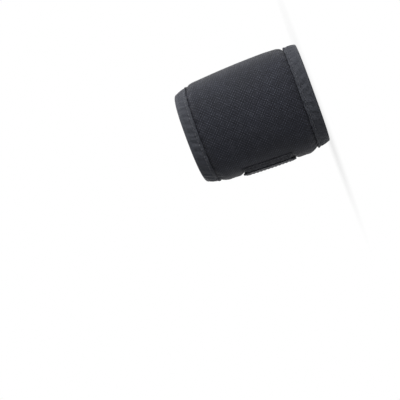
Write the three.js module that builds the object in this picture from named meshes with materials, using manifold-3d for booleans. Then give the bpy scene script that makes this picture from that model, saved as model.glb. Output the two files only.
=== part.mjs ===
// Magnetic wristband: a padded fabric cuff with disc magnets behind its outer shell, closed by a
// hook-and-loop strap. Units are millimetres. The ring stands on its wide edge and +Z runs to its
// narrow edge. The magnet face looks along -Y, and the strap closes on the -X side.
import * as THREE from "three";
import { mergeVertices } from "three/addons/utils/BufferGeometryUtils.js";
import Module from "manifold-3d";

const wasm = await Module();
wasm.setup();

// Ring, measured at mid height over the outer face of the padded panel
const bandWidth = 95;
const ringDepth = 77;
const ringBreadth = 86;
const ringSquareness = 2.4; // exponent of the oval outline, where 2 is an ellipse
const ringTaper = 2.5; // how much further out the wide edge sits than the narrow edge

// Disc magnets and their pockets
const magnetDiameter = 12;
const magnetThickness = 2;
const magnetSeat = 0.9; // depth that the curved carrier needs beyond the flat disc
const magnetFloor = 0.1; // how far the disc sits above the inner face of its carrier
const pocketGap = 0.3;
const columnPitch = 20;
const columnReach = 2; // columns on each side of the middle one
const rowReach = 1; // rows above and below the middle one
const rowMargin = 4; // from the crown of the panel to the outermost pocket

// Layers of the band, from the outside in
const shellThickness = 1;
const carrierThickness = magnetThickness + magnetSeat;
const padThickness = 1.5;
const liningThickness = 1.2;
const liningTucked = 0.5; // the lining is pressed thin inside the binding
const layerGap = 0.3;
const carrierFace = shellThickness + layerGap; // depths of the layers' outer faces
const padFace = carrierFace + carrierThickness + layerGap;
const liningFace = padFace + padThickness + layerGap;
const bandThickness = liningFace + liningThickness;

// Edge binding tape, folded round the layers
const bindingThickness = 0.9;
const bindingWidth = 9.3; // width of tape that shows along an edge
const seamDrop = 1.2; // how far the sewn edge of the tape lies below the face of the panel
const tapeCrown = 0.15; // rise of the middle of each leg of the tape
const foldRound = 0.45;
const foldFlat = 1.2; // from each face of the tape to the flat of the fold
const tuckGap = 0.3;
const tuckDepth = bindingThickness + 2 * tuckGap; // where the layers end inside the fold
const tapeMiddle = (tuckDepth + bindingWidth) / 2;
const narrowFold = 2 * bindingThickness + shellThickness + liningTucked + 3 * tuckGap;
const wideExtra = 1.1; // the fold of the wide edge is this much thicker
const narrowDrop = bandThickness - narrowFold; // how far a folded edge lies below the panel
const wideDrop = narrowDrop - wideExtra;
const cornerInside = 4.5; // radius of the sewn edge at the corners of the free ends
const cornerRadius = bindingWidth + cornerInside;

// Padded shoulder from the seam up to the face of the panel
const seamGap = 0.45;
const shoulderRun = 6;
const shoulderSteps = [0, 0.12, 0.45, 1];
const shoulderStart = bindingWidth + seamGap;
const shoulderEnd = shoulderStart + shoulderRun;
const padSetback = 0.8; // from the foot of the shoulder to the edge of the padding

// Sections between the flex lines, measured along the face of the panel
const foldGap = 0.5;
const upperLength = 50;
const rearLength = 46;
const lowerLength = 67;
const closureGap = 3.5; // between the two free ends
const stationPitch = 5.5;
const rowSpread = 0.2; // how rows that meet a free end fan out along it

// Closing strap and its hook and loop tapes
const strapWidth = 40;
const strapReach = 50; // free length past the end of the back section
const strapTail = 30; // length that is sewn down on the back section
const strapTip = 8; // corner radius of the tip
const webThickness = 1.2;
const tapeThickness = 0.8;
const tapeMargin = 1.5; // from the edge of the strap to the hook tape
const grabLength = 7; // tip of the strap without hooks
const loopWidth = 38;
const loopMargin = 2; // from the end binding to the loop patch
const loopLength = 46;

class RingOutline extends THREE.Curve {
  getPoint(t, target = new THREE.Vector3()) {
    const across = Math.sin(2 * Math.PI * t);
    const along = -Math.cos(2 * Math.PI * t);
    const power = 2 / ringSquareness;
    const x = Math.sign(across) * Math.abs(across) ** power;
    const y = Math.sign(along) * Math.abs(along) ** power;
    return target.set((x * ringDepth) / 2, (y * ringBreadth) / 2, 0);
  }
}

const outline = new RingOutline();
outline.arcLengthDivisions = 2000;
const perimeter = outline.getLength();

const frontHalf = (columnReach - 0.5) * columnPitch;
const upperFold = frontHalf;
const rearFold = upperFold + upperLength;
const backFold = rearFold + rearLength;
const lowerFold = -frontHalf;
const lowerEnd = lowerFold - lowerLength;
const backEnd = perimeter + lowerEnd - closureGap;

const sections = {
  lower: { from: lowerEnd, to: lowerFold - foldGap / 2, end: lowerEnd },
  front: { from: lowerFold + foldGap / 2, to: upperFold - foldGap / 2 },
  upper: { from: upperFold + foldGap / 2, to: rearFold - foldGap / 2 },
  rear: { from: rearFold + foldGap / 2, to: backFold - foldGap / 2 },
  back: { from: backFold + foldGap / 2, to: backEnd, end: backEnd },
};

const materials = {
  shell_fabric: new THREE.MeshStandardMaterial({ color: 0x3a3c42, roughness: 0.85 }),
  binding_tape: new THREE.MeshStandardMaterial({ color: 0x33363c, roughness: 0.7 }),
  lining_mesh: new THREE.MeshStandardMaterial({ color: 0x1e2024, roughness: 0.95 }),
  padding_foam: new THREE.MeshStandardMaterial({ color: 0x55585e, roughness: 1 }),
  carrier_foam: new THREE.MeshStandardMaterial({ color: 0x24262a, roughness: 0.9 }),
  magnet_nickel: new THREE.MeshStandardMaterial({ color: 0xb8bac0, roughness: 0.25, metalness: 1 }),
  strap_webbing: new THREE.MeshStandardMaterial({ color: 0x2a2c31, roughness: 0.8 }),
  hook_tape: new THREE.MeshStandardMaterial({ color: 0x141518, roughness: 0.7 }),
  loop_tape: new THREE.MeshStandardMaterial({ color: 0x1c1d21, roughness: 1 }),
};

function outwardAt(point) {
  const power = ringSquareness - 1;
  const x = point.x / (ringDepth / 2);
  const y = point.y / (ringBreadth / 2);
  const gradientX = (Math.sign(x) * Math.abs(x) ** power) / ringDepth;
  const gradientY = (Math.sign(y) * Math.abs(y) ** power) / ringBreadth;
  return new THREE.Vector3(gradientX, gradientY, 0).normalize();
}

function outlineAt(s) {
  const share = THREE.MathUtils.euclideanModulo(s / perimeter, 1);
  return outline.getPoint(outline.getUtoTmapping(share));
}

// A point of the flat pattern wrapped round the ring: s along the outline, z up and level outward
function wrap(s, z, level) {
  const point = outlineAt(s);
  const taper = ringTaper * (0.5 - z / bandWidth);
  return point.addScaledVector(outwardAt(point), level + taper).setZ(z);
}

// Share of the way from the wide edge's sizes to the narrow edge's
function edgeShare(z) {
  return THREE.MathUtils.clamp((z - shoulderEnd) / (bandWidth - 2 * shoulderEnd), 0, 1);
}

function edgeDrop(z) {
  return THREE.MathUtils.lerp(wideDrop, narrowDrop, edgeShare(z));
}

function distanceToEnd(section, s) {
  return section.end === undefined ? Infinity : Math.abs(s - section.end);
}

// Height of a line drawn in by inset from the outline, at a distance from a free end with round corners
function cornerHeight(toEnd, inset, radius) {
  if (toEnd >= Math.max(radius, inset)) {
    return inset;
  }
  if (toEnd < inset) {
    return radius + rowSpread * (inset - toEnd);
  }
  return radius - Math.sqrt((radius - inset) ** 2 - (radius - toEnd) ** 2);
}

function edgeDistance(toEnd, z) {
  const toEdge = Math.min(z, bandWidth - z);
  if (toEnd < cornerRadius && toEdge < cornerRadius) {
    return cornerRadius - Math.hypot(cornerRadius - toEnd, cornerRadius - toEdge);
  }
  return Math.min(toEnd, toEdge);
}

// Outer face of the binding, by distance from the edge
function bindingFace(edge, z) {
  const share = THREE.MathUtils.clamp((edge - tuckDepth) / (bindingWidth - tuckDepth), 0, 1);
  const crown = tapeCrown * (1 - Math.abs(2 * share - 1));
  return crown - THREE.MathUtils.lerp(edgeDrop(z), seamDrop, share);
}

// Outer face of the shell: tucked under the binding, then up the round shoulder to the panel
function shellFace(edge, z) {
  const tucked = bindingFace(edge, z) - bindingThickness - tuckGap;
  const climb = (edge - shoulderStart) / shoulderRun;
  const share = 1 - THREE.MathUtils.clamp(climb, 0, 1);
  return tucked * (1 - Math.sqrt(1 - share * share));
}

function shellBack(edge, z) {
  return shellFace(edge, z) - shellThickness;
}

// The lining steps out behind the inner leg of the binding
function liningShare(edge) {
  return THREE.MathUtils.clamp((edge - shoulderStart) / (shoulderSteps[2] * shoulderRun), 0, 1);
}

function liningInside(edge) {
  const tucked = -bandThickness + bindingThickness + tuckGap;
  return THREE.MathUtils.lerp(tucked, -bandThickness, liningShare(edge));
}

function liningOutside(edge) {
  const tucked = -bandThickness + bindingThickness + tuckGap + liningTucked;
  return THREE.MathUtils.lerp(tucked, -liningFace, liningShare(edge));
}

// A solid swept through a row of closed profiles, each placed in space by its own function
function sweep(profiles, place) {
  const size = profiles[0].length;
  const positions = [];
  const index = [];
  profiles.forEach((profile, station) => {
    profile.forEach((corner) => positions.push(...place(station, corner)));
  });
  for (let station = 0; station + 1 < profiles.length; station++) {
    for (let i = 0; i < size; i++) {
      const a = station * size + i;
      const b = station * size + ((i + 1) % size);
      index.push(a, b, b + size);
      index.push(a, b + size, a + size);
    }
  }
  const last = (profiles.length - 1) * size;
  for (const [a, b, c] of THREE.ShapeUtils.triangulateShape(profiles[0], [])) {
    index.push(a, c, b);
  }
  for (const [a, b, c] of THREE.ShapeUtils.triangulateShape(profiles.at(-1), [])) {
    index.push(last + a, last + b, last + c);
  }
  const geometry = new THREE.BufferGeometry();
  geometry.setAttribute("position", new THREE.Float32BufferAttribute(positions, 3));
  geometry.setIndex(index);
  geometry.computeVertexNormals();
  return geometry;
}

function evenSteps(from, to) {
  const count = Math.max(1, Math.ceil((to - from) / stationPitch));
  return Array.from({ length: count + 1 }, (_, i) => THREE.MathUtils.lerp(from, to, i / count));
}

// Distances from an edge at which a layer's profile has a corner
function edgeSteps(inset) {
  const steps = shoulderSteps.map((share) => shoulderStart + share * shoulderRun);
  return [inset, ...steps.filter((step) => step > inset + tuckGap)];
}

// Stations along a section, closer together where a free end rounds off
function sectionStations(section, inset) {
  if (section.end === undefined) {
    return evenSteps(section.from, section.to);
  }
  const rounding = [0.15, 0.3, 0.5, 0.75].map((share) => share * bindingWidth);
  const steps = [...edgeSteps(inset), ...rounding.filter((step) => step > inset)];
  const near = steps.sort((a, b) => a - b);
  const reach = near.pop();
  if (section.end === section.from) {
    return [...near.map((step) => section.end + step), ...evenSteps(section.end + reach, section.to)];
  }
  const tail = near.map((step) => section.end - step).reverse();
  return [...evenSteps(section.from, section.end - reach), ...tail];
}

// One layer of a section between two faces, which depend on the distance from the nearest edge
function layer(section, inset, inside, outside) {
  const stations = sectionStations(section, inset);
  const profiles = stations.map((s) => {
    const toEnd = distanceToEnd(section, s);
    const wideRows = edgeSteps(inset).map((step) => cornerHeight(toEnd, step, cornerRadius));
    const narrowRows = wideRows.map((z) => bandWidth - z).reverse();
    const rows = [...wideRows, ...narrowRows];
    const under = rows.map((z) => new THREE.Vector2(z, inside(edgeDistance(toEnd, z), z)));
    const over = rows.map((z) => new THREE.Vector2(z, outside(edgeDistance(toEnd, z), z)));
    return [...under, ...over.reverse()];
  });
  return sweep(profiles, (station, corner) => wrap(stations[station], corner.x, corner.y));
}

const padInset = shoulderStart + padSetback;

// Closed section of the folded tape: across is the distance in from the edge, level is outward
function tapeProfile(z) {
  const edge = -edgeDrop(z);
  const inside = -bandThickness;
  const crown = bindingFace(tapeMiddle, z);
  const corners = [
    [bindingWidth, inside],
    [bindingWidth, inside + bindingThickness],
    [tapeMiddle, inside + bindingThickness - tapeCrown],
    [tuckDepth, inside + bindingThickness],
    [bindingThickness, inside + bindingThickness + foldRound],
    [bindingThickness, edge - bindingThickness - foldRound],
    [tuckDepth, edge - bindingThickness],
    [tapeMiddle, crown - bindingThickness],
    [bindingWidth, -seamDrop - bindingThickness],
    [bindingWidth, -seamDrop],
    [tapeMiddle, crown],
    [tuckDepth, edge],
    [foldRound, edge - foldRound],
    [0, edge - foldFlat],
    [0, inside + foldFlat],
    [foldRound, inside + foldRound],
    [tuckDepth, inside],
    [tapeMiddle, inside - tapeCrown],
  ];
  return corners.map(([across, level]) => new THREE.Vector2(across, level));
}

// Tape along a path of the flat pattern that keeps the band on its left
function binding(path) {
  const profiles = path.map((step) => tapeProfile(step.z));
  return sweep(profiles, (station, corner) => {
    const step = path[station];
    const heading = step.heading + Math.PI / 2;
    const s = step.s + corner.x * Math.cos(heading);
    const z = step.z + corner.x * Math.sin(heading);
    return wrap(s, z, corner.y);
  });
}

function edgePath(from, to, z) {
  const heading = z > 0 ? Math.PI : 0;
  const steps = evenSteps(from, to).map((s) => ({ s, z, heading }));
  return z > 0 ? steps.reverse() : steps;
}

function cornerPath(s, z, heading) {
  return [0.2, 0.4, 0.6, 0.8, 1].map((share) => {
    const turned = heading + (share * Math.PI) / 2;
    const side = turned - Math.PI / 2;
    return { s: s + cornerRadius * Math.cos(side), z: z + cornerRadius * Math.sin(side), heading: turned };
  });
}

// Tape that runs along both edges of a section and round its free end
function endPath(section) {
  const low = cornerRadius;
  const high = bandWidth - cornerRadius;
  const rises = [0.25, 0.5, 0.75, 1].map((share) => THREE.MathUtils.lerp(low, high, share));
  if (section.end === section.to) {
    const centre = section.end - cornerRadius;
    const climb = rises.map((z) => ({ s: section.end, z, heading: Math.PI / 2 }));
    const wide = edgePath(section.from, centre, 0);
    const narrow = edgePath(section.from, centre, bandWidth).slice(1);
    const first = cornerPath(centre, low, 0);
    const second = cornerPath(centre, high, Math.PI / 2);
    return [...wide, ...first, ...climb, ...second, ...narrow];
  }
  const centre = section.end + cornerRadius;
  const falls = rises.map((z) => ({ s: section.end, z: bandWidth - z, heading: 1.5 * Math.PI }));
  const narrow = edgePath(centre, section.to, bandWidth);
  const wide = edgePath(centre, section.to, 0).slice(1);
  const first = cornerPath(centre, high, Math.PI);
  const second = cornerPath(centre, low, 1.5 * Math.PI);
  return [...narrow, ...first, ...falls, ...second, ...wide];
}

// A strip of the strap, or of a tape on it, with rounded corners at its tip where tipAt is given
function strip(stations, width, underside, thickness, tipAt, radius) {
  const low = (bandWidth - width) / 2;
  const profiles = stations.map((s) => {
    const drawIn = tipAt === undefined ? 0 : cornerHeight(tipAt - s, 0, radius);
    const rows = [low + drawIn, bandWidth - low - drawIn];
    const under = rows.map((z) => new THREE.Vector2(z, underside(s)));
    const over = rows.map((z) => new THREE.Vector2(z, underside(s) + thickness));
    return [...under, ...over.reverse()];
  });
  return sweep(profiles, (station, corner) => wrap(stations[station], corner.x, corner.y));
}

function tipStations(from, tip, radius) {
  const rounding = [0.75, 0.5, 0.25, 0.1].map((share) => tip - share * radius);
  return [...evenSteps(from, tip - radius), ...rounding, tip - 0.02 * radius];
}

function toManifold(geometry) {
  const bare = geometry.clone();
  bare.deleteAttribute("normal");
  bare.deleteAttribute("uv");
  const merged = mergeVertices(bare, 1e-4);
  const mesh = new wasm.Mesh({
    numProp: 3,
    vertProperties: Float32Array.from(merged.attributes.position.array),
    triVerts: Uint32Array.from(merged.index.array),
  });
  return new wasm.Manifold(mesh);
}

function fromManifold(solid) {
  const mesh = solid.getMesh();
  const geometry = new THREE.BufferGeometry();
  geometry.setAttribute("position", new THREE.BufferAttribute(mesh.vertProperties, 3));
  geometry.setIndex(new THREE.BufferAttribute(mesh.triVerts, 1));
  geometry.computeVertexNormals();
  return geometry;
}

// A disc that lies flat against the ring, with the level of its inner face
function disc(s, z, radius, innerLevel, height) {
  const outward = outwardAt(outlineAt(s)).setZ(ringTaper / bandWidth).normalize();
  const centre = wrap(s, z, innerLevel).addScaledVector(outward, height / 2);
  const geometry = new THREE.CylinderGeometry(radius, radius, height, 20);
  geometry.applyQuaternion(new THREE.Quaternion().setFromUnitVectors(THREE.Object3D.DEFAULT_UP, outward));
  geometry.translate(centre.x, centre.y, centre.z);
  return geometry;
}

const cuff = new THREE.Group();
cuff.name = "magnetic_wristband";
const bodies = {};
for (const name of ["front", "lower", "upper", "rear", "back", "strap"]) {
  bodies[name] = new THREE.Group();
  bodies[name].name = name;
  cuff.add(bodies[name]);
}

function add(body, name, geometry, material) {
  const mesh = new THREE.Mesh(geometry, materials[material]);
  mesh.name = name;
  bodies[body].add(mesh);
}

// Rows of magnets, spread over the flat part of the panel
const pocketRadius = magnetDiameter / 2 + pocketGap;
const rowPitch = (bandWidth / 2 - shoulderEnd - rowMargin - pocketRadius) / rowReach;
const magnetColumns = { lower: [-2], front: [-1, 0, 1], upper: [2] };

function padBack(edge, z) {
  return liningOutside(edge, z) + layerGap;
}

function sunkFace(depth) {
  return (edge, z) => Math.min(-depth, shellBack(edge, z) - layerGap);
}

function raisedFace(depth) {
  return () => -depth;
}

for (const [body, section] of Object.entries(sections)) {
  add(body, body + "_shell", layer(section, tuckDepth, shellBack, shellFace), "shell_fabric");
  add(body, body + "_lining", layer(section, tuckDepth, liningInside, liningOutside), "lining_mesh");
  const columns = magnetColumns[body];
  const padTop = columns ? padFace : carrierFace;
  const pad = layer(section, padInset, padBack, sunkFace(padTop));
  add(body, body + "_padding", pad, "padding_foam");
  if (section.end === undefined) {
    const wide = binding(edgePath(section.from, section.to, 0));
    const narrow = binding(edgePath(section.from, section.to, bandWidth));
    add(body, body + "_wide_binding", wide, "binding_tape");
    add(body, body + "_narrow_binding", narrow, "binding_tape");
  } else {
    add(body, body + "_binding", binding(endPath(section)), "binding_tape");
  }
  if (!columns) {
    continue;
  }
  const carrierBack = carrierFace + carrierThickness;
  let carrier = toManifold(layer(section, padInset, raisedFace(carrierBack), sunkFace(carrierFace)));
  for (const column of columns) {
    for (let row = -rowReach; row <= rowReach; row++) {
      const s = column * columnPitch;
      const z = bandWidth / 2 + row * rowPitch;
      const cutter = disc(s, z, pocketRadius, -carrierBack - layerGap, carrierThickness + 2 * layerGap);
      carrier = carrier.subtract(toManifold(cutter));
      const magnet = disc(s, z, magnetDiameter / 2, magnetFloor - carrierBack, magnetThickness);
      const place = (column + columnReach + 1) + "_" + (row + rowReach + 1);
      add(body, "magnet_" + place, magnet, "magnet_nickel");
    }
  }
  add(body, body + "_magnet_carrier", fromManifold(carrier), "carrier_foam");
}

// Loop patch on the outside of the lower section
const loopStart = lowerEnd + bindingWidth + loopMargin;
const midHeight = bandWidth / 2;
const loopUnderside = (s) => shellFace(s - lowerEnd, midHeight) + layerGap;
const loopBends = edgeSteps(0).map((step) => lowerEnd + step);
const loopStations = [
  loopStart,
  ...loopBends.filter((s) => s > loopStart + tuckGap),
  ...evenSteps(loopBends.at(-1), loopStart + loopLength).slice(1),
];
add("lower", "loop_patch", strip(loopStations, loopWidth, loopUnderside, tapeThickness), "loop_tape");

// Strap: sewn to the back section, climbing over the end of the lower section on to the loop patch
const strapBase = (bandWidth - strapWidth) / 2;
const strapLow = bindingFace(0, strapBase) + layerGap;
const strapHigh = 3 * layerGap + 2 * tapeThickness; // hook tape on loop patch on shell
const climbEnd = perimeter + lowerEnd + shoulderEnd;
const strapTipAt = backEnd + strapReach;

function webUnderside(s) {
  return strapLow + (strapHigh - strapLow) * THREE.MathUtils.smoothstep(s, backEnd, climbEnd);
}

// The sewn part bridges from the binding to the padded shoulder
function rootUnderside(s) {
  const edge = backEnd - s;
  const bridge = shoulderStart + shoulderSteps[2] * shoulderRun;
  if (edge < bindingWidth) {
    return bindingFace(edge, strapBase) + layerGap;
  }
  if (edge < bridge) {
    const share = (edge - bindingWidth) / (bridge - bindingWidth);
    return THREE.MathUtils.lerp(-seamDrop, shellFace(bridge, midHeight), share) + layerGap;
  }
  return shellFace(edge, midHeight) + layerGap;
}

const rootBends = edgeSteps(0).filter((step) => step > tuckDepth);
const rootEdges = [foldGap / 2, tuckDepth, tapeMiddle, bindingWidth, ...rootBends.slice(2)];
const rootStations = [
  ...evenSteps(backEnd - strapTail, backEnd - rootEdges.at(-1)),
  ...rootEdges.slice(0, -1).reverse().map((edge) => backEnd - edge),
];
add("back", "strap_root", strip(rootStations, strapWidth, rootUnderside, webThickness), "strap_webbing");

const webStations = tipStations(backEnd + foldGap / 2, strapTipAt, strapTip);
const web = strip(webStations, strapWidth, webUnderside, webThickness, strapTipAt, strapTip);
add("strap", "strap_web", web, "strap_webbing");

const hookStations = evenSteps(climbEnd, strapTipAt - grabLength);
const hookUnderside = (s) => webUnderside(s) - layerGap - tapeThickness;
const hook = strip(hookStations, strapWidth - 2 * tapeMargin, hookUnderside, tapeThickness);
add("strap", "hook_patch", hook, "hook_tape");

// The origin is the centre of the footprint on the standing face
const bounds = new THREE.Box3().setFromObject(cuff, true);
const middle = bounds.getCenter(new THREE.Vector3());
cuff.position.set(-middle.x, -middle.y, -bounds.min.z);

export default cuff;
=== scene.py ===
import bmesh
import bpy
import numpy as np
from mathutils import Matrix, Vector


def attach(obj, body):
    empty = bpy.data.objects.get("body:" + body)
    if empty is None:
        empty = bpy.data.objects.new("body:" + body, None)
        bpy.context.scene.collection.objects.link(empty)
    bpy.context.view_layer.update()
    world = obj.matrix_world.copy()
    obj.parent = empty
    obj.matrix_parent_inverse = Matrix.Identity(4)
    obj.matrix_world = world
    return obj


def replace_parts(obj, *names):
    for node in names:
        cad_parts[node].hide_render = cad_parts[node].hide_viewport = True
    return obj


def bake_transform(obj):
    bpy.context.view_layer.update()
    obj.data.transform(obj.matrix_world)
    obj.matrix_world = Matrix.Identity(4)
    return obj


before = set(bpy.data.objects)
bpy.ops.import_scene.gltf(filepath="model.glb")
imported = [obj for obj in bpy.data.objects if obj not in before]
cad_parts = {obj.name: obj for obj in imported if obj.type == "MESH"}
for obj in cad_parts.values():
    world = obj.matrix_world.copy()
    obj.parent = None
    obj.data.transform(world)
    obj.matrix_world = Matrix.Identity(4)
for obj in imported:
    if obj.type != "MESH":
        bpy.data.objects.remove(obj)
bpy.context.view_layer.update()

mm = 0.001

# The flat pattern and the ring that it is wrapped into, in millimetres
band = {
    "width": 95,
    "depth": 77,  # of the ring, across the closure
    "breadth": 86,
    "squareness": 2.4,
    "taper": 2.5,
    "centre": (1.694742, -0.603113),
    "thickness": 7.5,
    "lowerEnd": -97,
    "closureGap": 3.5,
    "cornerRadius": 13.8,
    "jointStep": 0.25,  # to a near neighbour at a joint, so that the shading runs through
}

ringTurn = np.linspace(0, 2 * np.pi, 8001)


def ringOutline(turn):
    # Squarish oval: each axis is the sine or cosine of the turn, raised to a power below 1
    power = 2 / band["squareness"]
    x = band["depth"] / 2 * np.sign(np.sin(turn)) * np.abs(np.sin(turn)) ** power
    y = -band["breadth"] / 2 * np.sign(np.cos(turn)) * np.abs(np.cos(turn)) ** power
    return x, y


def pathLength(x, y):
    return np.concatenate([[0], np.cumsum(np.hypot(np.diff(x), np.diff(y)))])


ringLength = pathLength(*ringOutline(ringTurn))
perimeter = ringLength[-1]
backEnd = perimeter + band["lowerEnd"] - band["closureGap"]
midHeight = band["width"] / 2

# Stretches of the band, each across one flex line between two bodies, with half of its bending zone
stretches = {
    "lower": {"bodies": ("lower", "front"), "flex": -30, "reach": 20, "span": (band["lowerEnd"], 0)},
    "front": {"bodies": ("front", "upper"), "flex": 30, "reach": 19, "span": (0, 55)},
    "upper": {"bodies": ("upper", "rear"), "flex": 80, "reach": 19, "span": (55, 103)},
    "back": {"bodies": ("rear", "back"), "flex": 126, "reach": 19, "span": (103, backEnd)},
}


def wrapBand(s, z, level):
    # A point of the flat pattern on the ring: arc length s along the outline, then out along its normal
    # by the level and the taper
    turn = np.interp(np.mod(s, perimeter), ringLength, ringTurn)
    x, y = ringOutline(turn)
    power = band["squareness"] - 1
    outX = np.sign(x) * np.abs(2 * x / band["depth"]) ** power / band["depth"]
    outY = np.sign(y) * np.abs(2 * y / band["breadth"]) ** power / band["breadth"]
    push = (level + band["taper"] * (0.5 - z / band["width"])) / np.hypot(outX, outY)
    px = x + outX * push + band["centre"][0]
    py = y + outY * push + band["centre"][1]
    return np.stack(np.broadcast_arrays(px, py, z), -1) * mm


def unit(vectors):
    return vectors / np.linalg.norm(vectors, axis=-1, keepdims=True)


def outwardAt(s, z):
    return unit(wrapBand(s, z, 1.0) - wrapBand(s, z, 0.0))


def aheadAt(s, z):
    return unit(wrapBand(s + 0.5, z, 0.0) - wrapBand(s - 0.5, z, 0.0))


def ease(value, low, high):
    share = np.clip((value - low) / (high - low), 0, 1)
    return share * share * (3 - 2 * share)


def bell(distance, reach):
    return np.exp(-((distance / reach) ** 2))


def strayingWave(phase, stray, slower, shift=0):
    # A sine whose crests stray to and fro, so that they never come evenly
    return np.sin(phase + stray * np.sin(slower) + shift)


def mixed(a, b, share):
    return a + (b - a) * share


def freeDistance(s):
    # From the nearer free end of the band
    return np.minimum(s - band["lowerEnd"], backEnd - s)


def edgeDistance(s, z):
    # From the edge of the flat pattern, whose corners are round at the free ends
    radius = band["cornerRadius"]
    toEnd = freeDistance(s)
    toEdge = np.minimum(z, band["width"] - z)
    inCorner = radius - np.hypot(radius - toEnd, radius - toEdge)
    return np.where((toEnd < radius) & (toEdge < radius), inCorner, np.minimum(toEnd, toEdge))


def endInset(s, inset):
    # Height at which a line drawn in by inset from the pattern's edge starts, rounding off at a free end
    radius = band["cornerRadius"]
    toEnd = np.clip(freeDistance(s), inset, radius)
    return radius - np.sqrt(np.maximum((radius - inset) ** 2 - (radius - toEnd) ** 2, 0))


print("pattern: perimeter", round(perimeter, 2), "mm, closed end at", round(backEnd, 2))


# Mesh making

def gridQuads(rows, columns, first=0):
    # Quads of a grid of points that are numbered row by row
    at = first + np.arange(rows * columns).reshape(rows, columns)
    return np.stack([at[:-1, :-1], at[1:, :-1], at[1:, 1:], at[:-1, 1:]], -1).reshape(-1, 4)


def meshPiece(name, points, quads, uv, material, sharp=50):
    mesh = bpy.data.meshes.new(name)
    mesh.vertices.add(len(points))
    mesh.vertices.foreach_set("co", points.astype(np.float32).ravel())
    mesh.loops.add(quads.size)
    mesh.loops.foreach_set("vertex_index", quads.astype(np.int32).ravel())
    mesh.polygons.add(len(quads))
    mesh.polygons.foreach_set("loop_start", np.arange(0, quads.size, 4, dtype=np.int32))
    mesh.update(calc_edges=True)
    layer = mesh.uv_layers.new(name="flat")
    layer.data.foreach_set("uv", uv[quads.ravel()].astype(np.float32).ravel())
    work = bmesh.new()
    work.from_mesh(mesh)
    bmesh.ops.recalc_face_normals(work, faces=work.faces)
    work.to_mesh(mesh)
    work.free()
    mesh.shade_smooth()
    mesh.set_sharp_from_angle(angle=np.radians(sharp))
    mesh.materials.append(material)
    piece = bpy.data.objects.new(name, mesh)
    bpy.context.scene.collection.objects.link(piece)
    return piece


def slabMesh(outer, inner, uv, bulge=(0, 0, 0, 0)):
    # A sheet with thickness: an outer and an inner grid of points, joined by a rim whose middle line is
    # pushed out by bulge along the first row, last column, last row and first column
    rows, columns = outer.shape[:2]
    at = np.arange(rows * columns).reshape(rows, columns)
    sides = [at[0, :-1], at[:-1, -1], at[-1, :0:-1], at[:0:-1, 0]]
    behind = [at[1, :-1], at[:-1, -2], at[-2, :0:-1], at[:0:-1, 1]]
    border = np.concatenate(sides)
    swell = np.concatenate([np.full(len(side), b) for side, b in zip(sides, bulge)])
    over, under = outer.reshape(-1, 3), inner.reshape(-1, 3)
    away = over[border] - over[np.concatenate(behind)]
    away /= np.maximum(np.linalg.norm(away, axis=1, keepdims=True), 1e-9)
    rim = (over[border] + under[border]) / 2 + away * swell[:, None] * mm
    count = rows * columns
    ring = 2 * count + np.arange(len(border))
    ringNext, borderNext = np.roll(ring, -1), np.roll(border, -1)
    quads = np.concatenate([
        gridQuads(rows, columns),
        gridQuads(rows, columns, count)[:, ::-1],
        np.stack([border, borderNext, ringNext, ring], -1),
        np.stack([ring, ringNext, borderNext + count, border + count], -1),
    ])
    flatUv = uv.reshape(-1, 2)
    allUv = np.concatenate([flatUv, flatUv, flatUv[border]])
    return np.concatenate([over, under, rim]), quads, allUv * mm


def sheetPiece(name, s, z, outer, inner, material, bulge=(0, 0, 0, 0)):
    # A sheet over a grid of the flat pattern, between an outer and an inner level
    parts = slabMesh(wrapBand(s, z, outer), wrapBand(s, z, inner), np.stack([s, z], -1), bulge)
    return meshPiece(name, *parts, material)


def closedMesh(points, uv):
    # A surface that closes on itself both ways, such as a ring with a closed section
    rows, columns = points.shape[:2]
    at = np.arange(rows * columns).reshape(rows, columns)
    beside, after = np.roll(at, -1, 0), np.roll(at, -1, 1)
    quads = np.stack([at, beside, np.roll(beside, -1, 1), after], -1).reshape(-1, 4)
    return points.reshape(-1, 3), quads, uv.reshape(-1, 2) * mm


def joinedPiece(name, parts, material):
    # Several closed forms in one mesh
    first = np.cumsum([0] + [len(points) for points, _, _ in parts])
    points, uv = (np.concatenate([part[at] for part in parts]) for at in (0, 2))
    quads = np.concatenate([part[1] + start for part, start in zip(parts, first)])
    return meshPiece(name, points, quads, uv, material)


def tubePiece(name, centres, sides, ups, radii, uv, material):
    # Many short closed tubes: rings of points round each centre line, spanned by its side and up vectors
    count, rows = centres.shape[:2]
    corners = 6
    angle = np.arange(corners) * 2 * np.pi / corners
    around = np.cos(angle)[:, None] * ups[:, :, None, :] + np.sin(angle)[:, None] * sides[:, :, None, :]
    points = centres[:, :, None, :] + around * radii[..., None, None]
    at = np.arange(count * rows * corners).reshape(count, rows, corners)
    after = np.roll(at, -1, axis=2)
    walls = np.stack([at[:, :-1], after[:, :-1], after[:, 1:], at[:, 1:]], -1).reshape(-1, 4)
    caps = [at[:, row][:, pick] for row in (0, -1) for pick in ([0, 1, 2, 3], [0, 3, 4, 5])]
    quads = np.concatenate([walls, *caps])
    allUv = np.stack([np.repeat(uv, corners, axis=1).reshape(-1), np.tile(angle, count * rows)], -1)
    return meshPiece(name, points.reshape(-1, 3), quads, allUv, material, sharp=80)


def curvedTubes(name, centres, side, radii, uv, material):
    # Tubes whose centre lines each lie in a plane across their side vector
    sides = np.broadcast_to(side[:, None], centres.shape)
    ups = np.cross(sides, unit(np.gradient(centres, axis=1)))
    return tubePiece(name, centres, sides, ups, radii, uv, material)


def bendStretch(piece, name):
    flex, reach = stretches[name]["flex"], stretches[name]["reach"]
    start, end = (wrapBand(flex + side * reach, midHeight, 0.0) for side in (-1, 1))
    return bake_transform(piece)


# Materials

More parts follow.
